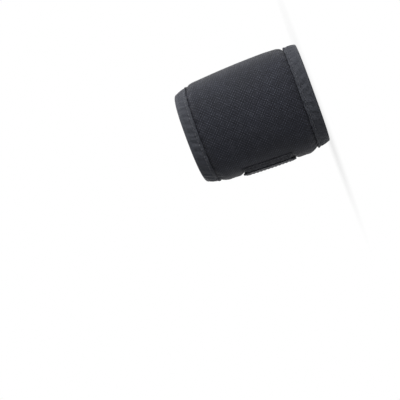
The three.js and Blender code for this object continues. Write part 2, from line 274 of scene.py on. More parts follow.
class Wire:
    # One socket of a material: sums and products with numbers or other sockets add Math nodes
    def __init__(self, tree, socket):
        self.tree, self.socket = tree, socket

    def math(self, operation, *others):
        node = self.tree.nodes.new("ShaderNodeMath")
        node.operation = operation
        for place, value in zip(node.inputs, (self, *others)):
            plug(self.tree, place, value)
        return Wire(self.tree, node.outputs[0])

    def __add__(self, other):
        return self.math("ADD", other)

    def __mul__(self, other):
        return self.math("MULTIPLY", other)

    def __sub__(self, other):
        return self.math("SUBTRACT", other)

    def __rsub__(self, other):
        return self.math("MULTIPLY_ADD", -1.0, other)

    __radd__, __rmul__ = __add__, __mul__


def plug(tree, socket, value):
    if isinstance(value, Wire):
        tree.links.new(value.socket, socket)
    else:
        socket.default_value = value


class Finish:
    # A material round one Principled shader
    def __init__(self, name, sockets):
        self.material = bpy.data.materials.new(name)
        self.material.use_nodes = True
        self.tree = self.material.node_tree
        self.shader = self.tree.nodes["Principled BSDF"]
        self.feed(sockets)

    def feed(self, sockets):
        for key, value in sockets.items():
            plug(self.tree, self.shader.inputs[key], value)

    def look(self, colour, roughness, normal):
        self.feed({"Base Color": colour, "Roughness": roughness, "Normal": normal})
        return self.material

    def node(self, kind, settings, sockets, output=0):
        made = self.tree.nodes.new("ShaderNode" + kind)
        for key, value in settings.items():
            setattr(made, key, value)
        for key, value in sockets.items():
            plug(self.tree, made.inputs[key], value)
        return Wire(self.tree, made.outputs[output])

    def flat(self):
        # The pattern's own coordinates in metres
        return self.node("UVMap", {"uv_map": "flat"}, {})

    def axes(self, place):
        # Along and across the cloth
        return [self.node("SeparateXYZ", {}, {0: place}, axis) for axis in (0, 1)]

    def solid(self):
        return self.node("TexCoord", {}, {}, "Object")

    def noise(self, place, scale, detail=2.0, rough=0.5):
        sockets = {"Vector": place, "Scale": scale, "Detail": detail, "Roughness": rough}
        return self.node("TexNoise", {}, sockets)

    def cells(self, place, scale):
        return self.node("TexVoronoi", {}, {"Vector": place, "Scale": scale})

    def stretched(self, place, scale, turn=0.0):
        return self.node("Mapping", {}, {"Vector": place, "Scale": scale, "Rotation": (0, 0, turn)})

    def blend(self, share, a, b):
        return self.node("Mix", {"data_type": "RGBA"}, {0: share, 6: a, 7: b}, 2)

    def scaled(self, colour, share):
        return self.node("VectorMath", {"operation": "SCALE"}, {0: colour, "Scale": share})

    def spread(self, value, low, high, toLow=0.0, toHigh=1.0):
        sockets = {"Value": value, "From Min": low, "From Max": high, "To Min": toLow, "To Max": toHigh}
        return self.node("MapRange", {"interpolation_type": "SMOOTHSTEP"}, sockets)

    def bump(self, height, distance, strength, normal=None):
        sockets = {"Height": height, "Distance": distance, "Strength": strength}
        if normal is not None:
            sockets["Normal"] = normal
        return self.node("Bump", {}, sockets)


def fuzz(sheen, roughness, specular):
    return {"Sheen Weight": sheen, "Sheen Roughness": roughness, "Specular IOR Level": specular}


def cellPart(value, size):
    # Position within cells of that size, from -0.5 to 0.5, and the number of the cell
    share = value * (1 / size)
    return share.math("FRACT") - 0.5, share.math("FLOOR")


def hump(value):
    # 1 in the middle of a cell and 0 at its ends
    return (value * np.pi).math("COSINE")


def yarnHeight(across, along, weave):
    # A yarn in its cell: round across, and lower towards its ends by the crown
    return hump(across) * (1 - weave["crown"] + weave["crown"] * hump(along))


def strandHeight(across, weave):
    # Fine strands along a yarn
    return weave["strandHeight"] * hump(across * weave["strands"])


shellWeave = {
    "pitch": 1.25 * mm,
    # gap: the colour down between the yarns, painted shade in the recesses of the weave
    "gap": (0.0154, 0.0163, 0.0214, 1),
    "yarn": (0.0372, 0.0402, 0.0548, 1),
    # worn: lighter yarn, partly wear and partly a painted glint on the yarn crowns
    "worn": (0.0740, 0.0790, 0.1010, 1),
    "weft": 0.62,  # brightness of the yarns across the band, next to those along it
    "sunk": 0.8,  # their height, next to the same
    "crown": 0.55,
    "strands": 8,
    "strandHeight": 0.07,
    "uneven": 0.16,  # of the brightness, from cell to cell
    "wander": 0.5 * mm,  # of the yarns off their straight lines
    "relief": 0.15 * mm,
    "dents": 0.5 * mm,
}


def makeShellCloth():
    cloth = Finish("shell cloth", fuzz(0.15, 0.45, 0.18))
    place = cloth.flat()
    u, v = cloth.axes(place)
    wander = (cloth.noise(place, 120, 3, 0.6) - 0.5) * shellWeave["wander"]
    x, i = cellPart(u + wander, shellWeave["pitch"])
    y, j = cellPart(v - wander, shellWeave["pitch"])
    # Basket weave: every other cell is a yarn along the band, and the rest are yarns across it
    across = (yarnHeight(x, y, shellWeave) + strandHeight(x, shellWeave)) * shellWeave["sunk"]
    along = yarnHeight(y, x, shellWeave) + strandHeight(y, shellWeave)
    isAlong = ((i + j) * 0.5).math("FRACT") * 2
    height = across + (along - across) * isAlong
    patches = cloth.noise(place, 38, 3)
    fibres = cloth.noise(place, 2600, 2, 0.7)
    # Lighter patches, drawn towards the yarn crowns: partly wear, partly a painted glint of light
    worn = cloth.spread(cloth.noise(place, 170, 4, 0.65) + height * 0.25, 0.58, 0.92)
    yarn = cloth.blend(worn * 0.6, shellWeave["yarn"], shellWeave["worn"])
    # Darker from the yarn crowns down to the gaps: painted shade between the yarns
    raised = cloth.spread(height + (fibres - 0.5) * 0.45, 0.0, 0.8)
    shade = cloth.spread(patches, 0.3, 0.72, 0.86, 1.12)
    shade = shade * (shellWeave["weft"] + isAlong * (1 - shellWeave["weft"]))
    cell = cloth.node("CombineXYZ", {}, {0: i, 1: j})
    chance = cloth.node("TexWhiteNoise", {"noise_dimensions": "2D"}, {"Vector": cell})
    shade = shade * (chance * (2 * shellWeave["uneven"]) + (1 - shellWeave["uneven"]))
    colour = cloth.scaled(cloth.blend(raised, shellWeave["gap"], yarn), shade)
    soft = cloth.bump(patches, shellWeave["dents"], 0.35)
    normal = cloth.bump(height + fibres * 0.18, shellWeave["relief"], 0.8, soft)
    return cloth.look(colour, 0.62 + 0.2 * patches, normal)


tapeWeave = {
    "rib": 0.85 * mm,
    "pick": 0.7 * mm,
    "crown": 0.35,
    # Painted shade down in the grooves between the ribs
    "grooveShade": (0.0191, 0.0206, 0.0265, 1),
    "yarn": (0.0662, 0.0706, 0.0853, 1),
    "worn": (0.1264, 0.1323, 0.1499, 1),
    "fold": (8.2 * mm, 10.4 * mm),  # where the edge of the band rubs
    "rubFrom": (5.5 * mm, 14 * mm),
    "relief": 0.2 * mm,
    "creases": 0.9 * mm,
}


def makeTapeCloth():
    cloth = Finish("binding tape", fuzz(0.08, 0.4, 0.22))
    place = cloth.flat()
    u, v = cloth.axes(place)
    rib, i = cellPart(u, tapeWeave["rib"])
    pick, _ = cellPart(v + i * (tapeWeave["pick"] / 2), tapeWeave["pick"])
    height = yarnHeight(rib, pick, tapeWeave)
    patches = cloth.noise(place, 55, 3)
    fibres = cloth.noise(place, 2200, 2, 0.7)
    near, far = (cloth.spread(v, *pair) for pair in zip(tapeWeave["rubFrom"], tapeWeave["fold"]))
    worn = cloth.spread(patches + near * far * 0.22 + (fibres - 0.5) * 0.3, 0.55, 0.85)
    yarn = cloth.blend(worn * 0.6, tapeWeave["yarn"], tapeWeave["worn"])
    # Darker from the rib crowns down to the grooves: painted shade
    raised = cloth.spread(height + (fibres - 0.5) * 0.4, 0.05, 0.8)
    creases = cloth.noise(cloth.stretched(place, (1.0, 0.45, 1.0), 0.35), 210, 3, 0.55)
    soft = cloth.bump(creases, tapeWeave["creases"], 0.55)
    normal = cloth.bump(height + fibres * 0.2, tapeWeave["relief"], 0.8, soft)
    return cloth.look(cloth.blend(raised, tapeWeave["grooveShade"], yarn), 0.52 + 0.22 * patches, normal)


meshWeave = {
    "pitch": 2.6 * mm,
    # Near black in the holes of the mesh: painted shade
    "holeShade": (0.0052, 0.0052, 0.0065, 1),
    "yarn": (0.0390, 0.0403, 0.0468, 1),
    "bright": (0.05, 0.051, 0.058, 1),
    "rim": (0.20, 0.36),  # of a hole, from its floor to the yarn, as shares of the pitch
    "relief": 0.45 * mm,
}


def makeLiningMesh():
    knit = Finish("lining air mesh", fuzz(0.08, 0.5, 0.15))
    place = knit.flat()
    u, v = knit.axes(place)
    # Round holes on a triangular grid: the nearer of two square-cornered grids, half a cell apart
    wide, tall = meshWeave["pitch"], meshWeave["pitch"] * np.sqrt(3)
    reach = []
    for shift in (0.0, 0.5):
        x, _ = cellPart(u + shift * wide, wide)
        y, _ = cellPart(v + shift * tall, tall)
        reach.append((x * x + y * y * 3.0).math("SQRT"))
    fibres = knit.noise(place, 1900, 3, 0.7)
    # Dark towards the middle of each hole: painted shade where the mesh is open
    ground = knit.spread(reach[0].math("MINIMUM", reach[1]) + (fibres - 0.5) * 0.1, *meshWeave["rim"])
    yarn = knit.blend(fibres, meshWeave["yarn"], meshWeave["bright"])
    normal = knit.bump(ground + fibres * 0.25, meshWeave["relief"], 0.9)
    return knit.look(knit.blend(ground, meshWeave["holeShade"], yarn), 0.75 + 0.2 * fibres, normal)


webWeave = {
    "rib": 1.7 * mm,
    "pick": 1.9 * mm,
    "crown": 0.5,
    "strands": 6,
    "strandHeight": 0.08,
    # Painted shade down in the grooves between the ribs
    "grooveShade": (0.0135, 0.0135, 0.0180, 1),
    "yarn": (0.0570, 0.0600, 0.0720, 1),
    "relief": 0.4 * mm,
}


def makeStrapWeb():
    web = Finish("strap webbing", fuzz(0.06, 0.4, 0.2))
    place = web.flat()
    u, v = web.axes(place)
    rib, i = cellPart(v, webWeave["rib"])
    pick, _ = cellPart(u + i * (webWeave["pick"] / 2), webWeave["pick"])
    # Ribs along the strap, crossed by floats that step half a pick from rib to rib
    height = yarnHeight(rib, pick, webWeave) + strandHeight(rib, webWeave)
    fibres = web.noise(place, 2300, 2, 0.7)
    patches = web.noise(place, 60, 3)
    # Darker from the rib crowns down to the grooves: painted shade
    raised = web.spread(height + (fibres - 0.5) * 0.3, 0.02, 0.7)
    shade = web.spread(patches, 0.3, 0.7, 0.85, 1.15)
    colour = web.scaled(web.blend(raised, webWeave["grooveShade"], webWeave["yarn"]), shade)
    normal = web.bump(height + fibres * 0.15, webWeave["relief"], 0.9)
    return web.look(colour, 0.5 + 0.25 * patches, normal)


def makePile(name, dark, light, scale):
    # Short pile: fine cells that stand out from a dark ground; the dips at the cell borders have painted
    # shade
    pile = Finish(name, fuzz(0.1, 0.5, 0.12))
    place = pile.flat()
    cells = pile.cells(place, scale)
    fluff = pile.noise(place, scale * 2.5, 3, 0.7)
    patches = pile.noise(place, 70, 3)
    tone = pile.spread(fluff + (patches - 0.5) * 0.5 - cells * 0.25, 0.2, 0.65)
    normal = pile.bump(fluff - cells, 0.5 * mm, 0.9)
    return pile.look(pile.blend(tone, dark, light), 0.8 + 0.15 * fluff, normal)


def makeThread(name, dark, light, lay=0.55 * mm):
    # Twisted thread: slanting stripes, from the length along the stitch and the angle round it
    thread = Finish(name, fuzz(0.05, 0.4, 0.25))
    place = thread.flat()
    u, v = thread.axes(place)
    # Darker in the grooves of the twist: painted shade
    twist = (u * (2 * np.pi / lay) + v).math("SINE") * 0.5 + 0.5
    worn = thread.noise(place, 300, 2)
    colour = thread.blend(twist * 0.7 + worn * 0.3, dark, light)
    return thread.look(colour, 0.45 + 0.2 * worn, thread.bump(twist, 0.1 * mm, 0.7))


def makePlastic(name, dark, light):
    plastic = Finish(name, {"Specular IOR Level": 0.45})
    grain = plastic.noise(plastic.solid(), 900, 3)
    normal = plastic.bump(grain, 0.08 * mm, 0.5)
    return plastic.look(plastic.blend(grain, dark, light), 0.42 + 0.25 * grain, normal)


def makeFoam(name, dark, light, scale):
    foam = Finish(name, {"Specular IOR Level": 0.2})
    place = foam.solid()
    cells = foam.cells(place, scale)
    tone = foam.spread(cells + foam.noise(place, 120) * 0.3, 0.1, 0.8)
    return foam.look(foam.blend(tone, dark, light), 0.85 + 0.1 * tone, foam.bump(cells, 0.3 * mm, 0.7))


def makeNickel(name, stained, bright):
    nickel = Finish(name, {"Metallic": 1.0})
    place = nickel.solid()
    scratches = nickel.noise(nickel.stretched(place, (1.0, 1.0, 0.06)), 1500, 4, 0.7)
    stains = nickel.spread(nickel.noise(place, 180, 3), 0.35, 0.75)
    normal = nickel.bump(scratches, 0.03 * mm, 0.4)
    return nickel.look(nickel.blend(stains, bright, stained), 0.16 + 0.22 * scratches, normal)


shellCloth = makeShellCloth()
tapeCloth = makeTapeCloth()
liningMesh = makeLiningMesh()
strapWeb = makeStrapWeb()
# The dark end of the loop pile includes painted shade where the pile dips between its cells
loopPile = makePile("loop pile", (0.020, 0.021, 0.026, 1), (0.088, 0.092, 0.108, 1), 900)
# The dark ends of the two thread colours are painted shade in the grooves of the twist
seamThread = makeThread("seam thread", (0.050, 0.053, 0.062, 1), (0.150, 0.157, 0.174, 1))
loopThread = makeThread("loop yarn", (0.050, 0.053, 0.063, 1), (0.155, 0.162, 0.186, 1))
hookPlastic = makePlastic("hook tape", (0.011, 0.011, 0.013, 1), (0.030, 0.030, 0.034, 1))
paddingFoam = makeFoam("padding foam", (0.06, 0.062, 0.068, 1), (0.13, 0.135, 0.145, 1), 900)
carrierFoam = makeFoam("carrier foam", (0.012, 0.013, 0.015, 1), (0.034, 0.035, 0.040, 1), 1400)
magnetNickel = makeNickel("magnet nickel", (0.44, 0.43, 0.42, 1), (0.62, 0.62, 0.64, 1))
print("materials:", len(bpy.data.materials))

for name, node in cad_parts.items():
    if name.startswith("magnet_"):
        node.data.materials.clear()
        node.data.materials.append(magnetNickel)


# Cover: the outer cloth, tucked under the tape and proud between its seams

cover = {
    "thick": 1.0,
    "inset": 1.5,  # of its cut edge inside the folded tape
    "footAt": 10.15,  # from the edge, where the shoulder climbs out of the seam
    "shoulder": 5.6,
    "seamDrop": 1.2,  # below the panel: the seams and the two folded edges
    "wideDrop": 2.2,
    "narrowDrop": 3.3,
    "tapeGap": 0.3,
    "swell": 0.8,
    "swellFrom": (12, 40),  # a free end
    "pucker": 0.13,
    "puckerAt": 11.4,
    "puckerReach": 1.9,
    "step": 1.15,
}

# What the pulled strap does to the padded band
closure = {
    "middle": -66,  # of the strap, along the band
    "until": -52,
    "untilFade": 7,
    "fromEnd": (9, 24),
    "press": 1.5,  # of the strap into the padding
    "pressZone": (23, 18),  # from the strap's middle line, as for the bulge
    "wideBulge": 1.7,  # of the padding beside the strap
    "narrowBulge": 0.9,
    "bulgeZone": (16, 23),
    "bulgeFromEdge": (9.75, 17),
    "bulgeFromEnd": (6, 20),
    "spread": 26,  # of the bulge and the flare, along the band
    "flare": 0.8,  # of the seams beside the strap
    "foldFlare": 1.3,  # of the narrow edge, times that of its seam
    "sag": 0.7,  # of the wide edge's seam on the side away from the strap
    "sagSpread": 30,
    "sagZone": (24, 13),
    "held": 24,  # from the strap's middle line, where the cover can't move
    "heldPast": 8,
    "sewn": 32,  # of the back end, under the root of the strap
}


def besideStrap(s):
    # 1 where the strap is pulled tight, fading both ways round the ring
    return bell(s - closure["middle"], closure["spread"])


def awayFromStrap(s):
    return bell(s + closure["middle"], closure["sagSpread"])


def edgeDrop(s, z):
    # Depth of the folded edge below the panel, from the wide edge to the narrow one, which flares beside
    # the strap
    end = cover["footAt"] + cover["shoulder"]
    narrow = cover["narrowDrop"] - closure["foldFlare"] * closure["flare"] * besideStrap(s)
    return mixed(cover["wideDrop"], narrow, np.clip((z - end) / (band["width"] - 2 * end), 0, 1))


def seamDrop(s, z):
    # Depth of the seam below the panel
    sag = np.where(z < midHeight, closure["sag"], 0) * awayFromStrap(s)
    return cover["seamDrop"] - closure["flare"] * besideStrap(s) + sag


def swellAt(s, z):
    # Crown of the padding between the seams, 1 - x * x, fading towards the free ends; under the closing
    # strap it is pressed in, and it bulges on both sides of the strap
    fromMiddle, toFree = np.abs(z - midHeight), freeDistance(s)
    across = (z - midHeight) / (midHeight - cover["footAt"] - cover["shoulder"])
    crown = cover["swell"] * np.clip(1 - across**2, 0, 1) * ease(toFree, *cover["swellFrom"])
    pulled = ease(s, closure["until"] + closure["untilFade"], closure["until"])
    pulled = pulled * ease(s - band["lowerEnd"], *closure["fromEnd"])
    pressed = closure["press"] * pulled * ease(fromMiddle, *closure["pressZone"])
    bulge = np.where(z < midHeight, closure["wideBulge"], closure["narrowBulge"])
    bulge = bulge * ease(fromMiddle, *closure["bulgeZone"]) * besideStrap(s)
    bulge = bulge * ease(midHeight - fromMiddle, *closure["bulgeFromEdge"])
    bulge = bulge * ease(toFree, *closure["bulgeFromEnd"])
    sag = closure["sag"] * awayFromStrap(s) * ease(z, *closure["sagZone"])
    return crown + bulge - pressed - sag


settled = {
    "step": 1.6,  # of the coarse sheet
    "enlarge": 20,  # the cloth solver is at its best near the size of a shirt
    "frames": 24,
    "cloth": {
        "quality": 6,
        "mass": 0.4,
        "tension_stiffness": 30,
        "compression_stiffness": 30,
        "shear_stiffness": 10,
        "bending_stiffness": 2.5,
        "vertex_group_mass": "held",
        "use_pressure": True,
        "uniform_pressure_force": 0.25,
        "vertex_group_shrink": "snug",
        "shrink_max": 0.0,
        "shrink_min": -0.022,  # below 0: spare length along the seams
    },
    "heldEdge": 10.6,  # from the edge of the pattern
    "spareAt": 12.5,
    "spareReach": 4,
    "spareSteps": 21,
    "spareNear": 0.0251,  # a little over half a step, so that no point is left out
    "rough": 0.02 * mm,  # to set off the folds
    "roughFrom": (10, 13),
    "seed": 3,
    "cap": 0.5,  # of the moves
    "moves": None,
}


def cubicWeight(distance):
    a = np.abs(distance)
    near = 1.5 * a**3 - 2.5 * a**2 + 1
    far = -0.5 * a**3 + 2.5 * a**2 - 4 * a + 2
    return np.where(a < 1, near, np.where(a < 2, far, 0))


def cubicAt(grid, row, column):
    # Value of a grid between its points: a cubic through four neighbours each way
    values = 0
    for reach in range(-1, 3):
        for side in range(-1, 3):
            i, j = np.floor(row) + reach, np.floor(column) + side
            weight = cubicWeight(row - i) * cubicWeight(column - j)
            i = np.clip(i, 0, grid.shape[0] - 1).astype(int)
            j = np.clip(j, 0, grid.shape[1] - 1).astype(int)
            values = values + weight * grid[i, j]
    return values


def settledMove(s, z):
    # How far the cloth run moved the cover outwards at a point of the pattern
    if settled["moves"] is None:
        return 0 * s
    rows, columns = settled["moves"].shape
    low = endInset(s, cover["inset"])
    share = (z - low) / np.maximum(band["width"] - 2 * low, 1e-6)
    start, end = band["lowerEnd"] + cover["inset"], backEnd - cover["inset"]
    return cubicAt(settled["moves"], (s - start) / (end - start) * (rows - 1), share * (columns - 1))


def coverFace(s, z):
    # Tucked under the tape, then a quarter ellipse up to the panel; puckers die out from the seam
    edge = edgeDistance(s, z)
    tucked = tapeFace(edge, s, z) - tape["thick"] - cover["tapeGap"]
    climb = np.clip((edge - cover["footAt"]) / cover["shoulder"], 0, 1)
    rise = np.sqrt(1 - (1 - climb) ** 2)
    wave = strayingWave(2 * np.pi * s / 7.7, 1.7, s / 9.1, z / 30) + 0.6 * np.sin(s / 2.9 + z / 11)
    pucker = cover["pucker"] * wave * bell(edge - cover["puckerAt"], cover["puckerReach"])
    return tucked * (1 - rise) + swellAt(s, z) + pucker + settledMove(s, z)


def patternGrid(s, inset, rows):
    # Points of the pattern at the stations s, between lines drawn in by inset
    s = s[:, None]
    low = endInset(s, inset)
    z = low + np.linspace(0, 1, rows)[None, :] * (band["width"] - 2 * low)
    return np.broadcast_to(s, z.shape), z


def settleCover():
    # The whole cover as a coarse cloth, held along its seams, with spare length beside them and a little
    # air behind it; what it moves along the normal is kept, up to the cap
    step, inset = settled["step"], cover["inset"]
    start, end = band["lowerEnd"] + inset, backEnd - inset
    stations = np.linspace(start, end, int((end - start) / step))
    s, z = patternGrid(stations, inset, int(band["width"] / step))
    rest = wrapBand(s, z, coverFace(s, z))
    outward = outwardAt(s, z)
    edge = edgeDistance(s, z)
    rough = np.random.default_rng(settled["seed"]).normal(0, settled["rough"], s.shape)
    rough = rough * ease(edge, *settled["roughFrom"])
    points = (rest + outward * rough[..., None]).reshape(-1, 3) * settled["enlarge"]
    sheet = bpy.data.meshes.new("settling")
    sheet.from_pydata(points.tolist(), [], gridQuads(*s.shape).tolist())
    cloth = bpy.data.objects.new("settling", sheet)
    bpy.context.scene.collection.objects.link(cloth)
    held = cloth.vertex_groups.new(name="held")
    snug = cloth.vertex_groups.new(name="snug")
    atStrap = (s < closure["until"] + closure["heldPast"]) | (s > backEnd - closure["sewn"])
    still = (edge < settled["heldEdge"]) | (atStrap & (np.abs(z - midHeight) < closure["held"]))
    held.add(np.flatnonzero(still.ravel()).tolist(), 1.0, "REPLACE")
    firm = 1 - bell(edge - settled["spareAt"], settled["spareReach"]).ravel()
    for level in np.linspace(0, 1, settled["spareSteps"]):
        near = np.abs(firm - level) <= settled["spareNear"]
        snug.add(np.flatnonzero(near).tolist(), float(level), "REPLACE")
    run = cloth.modifiers.new("cloth", "CLOTH")
    for key, value in settled["cloth"].items():
        setattr(run.settings, key, value)
    run.settings.effector_weights.gravity = 0
    run.collision_settings.use_collision = False
    run.point_cache.frame_start, run.point_cache.frame_end = 1, settled["frames"]
    for at in range(1, settled["frames"] + 1):
        bpy.context.scene.frame_set(at)
    found = cloth.evaluated_get(bpy.context.evaluated_depsgraph_get()).data
    after = np.empty(len(found.vertices) * 3, np.float32)
    found.vertices.foreach_get("co", after)
    moved = after.reshape(rest.shape) / settled["enlarge"] - rest
    outwards = np.sum(moved * outward, -1) / mm
    bpy.context.scene.frame_set(1)
    bpy.data.objects.remove(cloth)
    bpy.data.meshes.remove(sheet)
    print("cover settled: moves from", round(outwards.min(), 2), "to", round(outwards.max(), 2), "mm")
    settled["moves"] = settled["cap"] * np.tanh(outwards / settled["cap"])


# Layers of a stretch

def stationsOf(span, step):
    # Even stations, closer at a free end, and with a near neighbour at each joint
    start, end = span
    atEnd = band["cornerRadius"] * (1 - np.cos(np.linspace(0, np.pi / 2, 15)))
    atJoint = np.array([0, band["jointStep"]])
    low = start + (atEnd if start == band["lowerEnd"] else atJoint)
    high = end - (atEnd if end == backEnd else atJoint)
    inner = np.linspace(low.max(), high.min(), int(np.ceil((high.min() - low.max()) / step)) + 1)
    return np.unique(np.round(np.concatenate([low, inner, high]), 5))


def layerGrid(span, inset, step):
    stations = stationsOf(span, step)
    stations = stations[freeDistance(stations) > inset]
    if span[0] == band["lowerEnd"]:
        stations = np.concatenate([[span[0] + inset], stations])
    if span[1] == backEnd:
        stations = np.concatenate([stations, [span[1] - inset]])
    return patternGrid(stations, inset, int(band["width"] / step))


def nodesOf(name, kind):
    return [body + "_" + kind for body in stretches[name]["bodies"]]


def addSheet(title, name, s, z, outer, inner, material, kind):
    # A sheet of one stretch between two levels, in place of the CAD parts of that kind
    piece = sheetPiece(title + "_" + name, s, z, outer, inner, material)
    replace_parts(bendStretch(piece, name), *nodesOf(name, kind))
    start, end = stretches[name]["span"]
    flat = (band["width"] * mm, (end - start) * mm)
    "padding_" + name


def addCover(name):
    s, z = layerGrid(stretches[name]["span"], cover["inset"], cover["step"])
    face = coverFace(s, z)
    addSheet("cover", name, s, z, face, face - cover["thick"], shellCloth, "shell")


lining = {
    "thick": 1.2,
    "tucked": 0.5,  # thickness behind the tape
    "climb": 2.7,  # past the foot of the cover
    "inset": 1.5,
    "step": 1.6,
    "swell": 0.35,
    "swellFrom": (10, 24),  # an edge or a free end
}


def addLining(name):
    # Behind the inner leg of the tape at its edges, and full thickness between
    s, z = layerGrid(stretches[name]["span"], lining["inset"], lining["step"])
    edge = edgeDistance(s, z)
    share = ease(edge, cover["footAt"], cover["footAt"] + lining["climb"])
    full = band["thickness"]
    inside = mixed(tape["thick"] + cover["tapeGap"] - full, -full, share)
    outside = mixed(inside + lining["tucked"], lining["thick"] - full, share)
    puff = ease(edge, *lining["swellFrom"]) * ease(freeDistance(s), *lining["swellFrom"])
    inside = inside - lining["swell"] * puff
    addSheet("lining", name, s, z, outside, inside, liningMesh, "lining")


padding = {
    "inset": 10.55,
    "gap": 0.3,
    "behindMagnets": 4.5,
    "magnetsEnd": 80,
    "pastMagnets": (0.5, 5),  # where it rises again to the cover
    "climbEnd": 12.45,
    "thinnest": 0.4,
    "step": 2.6,
}


def underCover(s, z):
    return coverFace(s, z) - cover["thick"] - padding["gap"]


def addPadding(name):
    # Fills the room between the lining and the cover, or the foam that carries the magnets
    s, z = layerGrid(stretches[name]["span"], padding["inset"], padding["step"])
    climb = ease(edgeDistance(s, z), cover["footAt"], padding["climbEnd"])
    behind = mixed(lining["tucked"] + tape["thick"] + cover["tapeGap"], lining["thick"], climb)
    behind = behind - band["thickness"] + padding["gap"]
    top = underCover(s, z)
    sunk = np.minimum(top, -padding["behindMagnets"])
    past = ease(s - padding["magnetsEnd"], *padding["pastMagnets"])
    face = np.maximum(mixed(sunk, top, past), behind + padding["thinnest"])
    piece = sheetPiece("padding_" + name, s, z, face, behind, paddingFoam)
    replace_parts(bendStretch(piece, name), *nodesOf(name, "padding"))


# Foam behind the cover that carries the magnets: a tile round each disc, by the place of its column

carrier = {
    "back": 4.2,
    "pocket": 6.3,
    "rowPitch": 21.45,
    "rows": (-1, 0, 1),
    "tiles": {
        "lower": {-40: (-50, -30), -20: (-30, -10)},
        "front": {0: (-10, 10), 20: (10, 30), 40: (30, 55)},
        "upper": {},
    },
    "plain": {"lower": (band["lowerEnd"], -50), "upper": (55, 80)},
    "sidePoints": 12,
    "rayPoints": 6,
}


def pocketTile(column, sides, row):
    # A rectangle round one pocket: rays run from its border to the pocket's circle, over the face and
    # back under it
    left, right = sides
    low, high = (midHeight + (row + side) * carrier["rowPitch"] for side in (-0.5, 0.5))
    if row == carrier["rows"][0]:
        low = padding["inset"]
    if row == carrier["rows"][-1]:
        high = band["width"] - padding["inset"]
    run = np.arange(carrier["sidePoints"]) / carrier["sidePoints"]
    still = 0 * run
    sideS = mixed(left, right, run), still + right, mixed(right, left, run), still + left
    sideZ = still + low, mixed(low, high, run), still + high, mixed(high, low, run)
    borderS, borderZ = np.concatenate(sideS), np.concatenate(sideZ)
    middle = midHeight + row * carrier["rowPitch"]
    angle = np.arctan2(borderZ - middle, borderS - column)[:, None]
    share = np.linspace(0, 1, carrier["rayPoints"])
    share = np.concatenate([share, share[::-1]])
    s = mixed(borderS[:, None], column + carrier["pocket"] * np.cos(angle), share)
    z = mixed(borderZ[:, None], middle + carrier["pocket"] * np.sin(angle), share)
    onFace = np.arange(len(share)) < carrier["rayPoints"]
    level = np.where(onFace, underCover(s, z), -carrier["back"])
    return closedMesh(wrapBand(s, z, level), np.stack([s, z], -1))


def addCarrier(name):
    tiles = carrier["tiles"][name].items()
    parts = [pocketTile(column, sides, row) for column, sides in tiles for row in carrier["rows"]]
    if name in carrier["plain"]:
        s, z = layerGrid(carrier["plain"][name], padding["inset"], padding["step"])
        outer, inner = wrapBand(s, z, underCover(s, z)), wrapBand(s, z, 0 * s - carrier["back"])
        parts.append(slabMesh(outer, inner, np.stack([s, z], -1)))
    piece = joinedPiece("carrier_" + name, parts, carrierFoam)
    nodes = [node for node in nodesOf(name, "magnet_carrier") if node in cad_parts]
    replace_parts(bendStretch(piece, name), *nodes)


# Binding tape, folded round the edges

tape = {
    "width": 9.3,
    "thick": 0.9,
    "crown": 0.15,
    "fold": 1.2,  # radius of the folded edge
    "step": 1.1,
    "wrinkle": 0.3,
    "wrinkleFrom": (0.5, 4),  # the folded edge
    "wrinkleTo": (0.2, 2.5),  # short of the sewn edge
    "wander": 0.22,  # of the sewn edge along the seam
    "wanderFrom": 2.2,
    "seamIn": 1.7,  # from the sewn edge to the row of stitches
    "seamReach": 0.75,
    "stitchDip": 0.28,
    "lift": 0.15,  # of the sewn edge
    "pucker": 0.42,  # of the same, between the stitches
    "puckerIn": 0.4,
    "puckerReach": 1.1,
    "rim": 0.25,
    "legPoints": 17,
    "foldPoints": 6,
}


def legShare(edge):
    # From 0 at the fold to 1 at the sewn edge
    return np.clip((edge - cover["inset"]) / (tape["width"] - cover["inset"]), 0, 1)


def legCrown(share):
    return 4 * tape["crown"] * share * (1 - share)


def tapeFace(edge, s, z):
    # Outer face of the tape: from the fold up to the seam, a little crowned
    share = legShare(edge)
    return legCrown(share) - mixed(edgeDrop(s, z), seamDrop(s, z), share)


def tapePath(name):
    # Line of the pattern's edge with the direction to the inside; round a free end it is one line from
    # the wide edge to the narrow one, elsewhere a line for each edge
    start, end = stretches[name]["span"]
    radius, width = band["cornerRadius"], band["width"]
    if start != band["lowerEnd"] and end != backEnd:
        s = stationsOf((start, end), tape["step"])
        one = np.ones_like(s)
        return {"wide": (s, 0 * one, 0 * one, one), "narrow": (s, width * one, 0 * one, -one)}
    tip, joint, side = (start, end, -1) if start == band["lowerEnd"] else (end, start, 1)
    centre = tip - side * radius
    run = np.linspace(joint, centre, int(abs(centre - joint) / tape["step"]))
    run = np.concatenate([[joint, joint + side * band["jointStep"]], run[1:]])
    still, backStill = 0 * run, 0 * run[1:]
    angle = np.linspace(0, np.pi / 2, 17)[1:]
    sine, cosine = np.sin(angle), np.cos(angle)
    climb = np.linspace(radius, width - radius, 50)[1:]
    low = (centre + side * radius * sine, radius - radius * cosine)
    high = (centre + side * radius * cosine, width - radius + radius * sine)
    s = np.concatenate([run, low[0], 0 * climb + tip, high[0], run[-2::-1]])
    z = np.concatenate([still, low[1], climb, high[1], backStill + width])
    inS = np.concatenate([still, -side * sine, 0 * climb - side, -side * cosine, backStill])
    inZ = np.concatenate([still + 1, cosine, 0 * climb, -sine, backStill - 1])
    return {"end": (s, z, inS, inZ)}


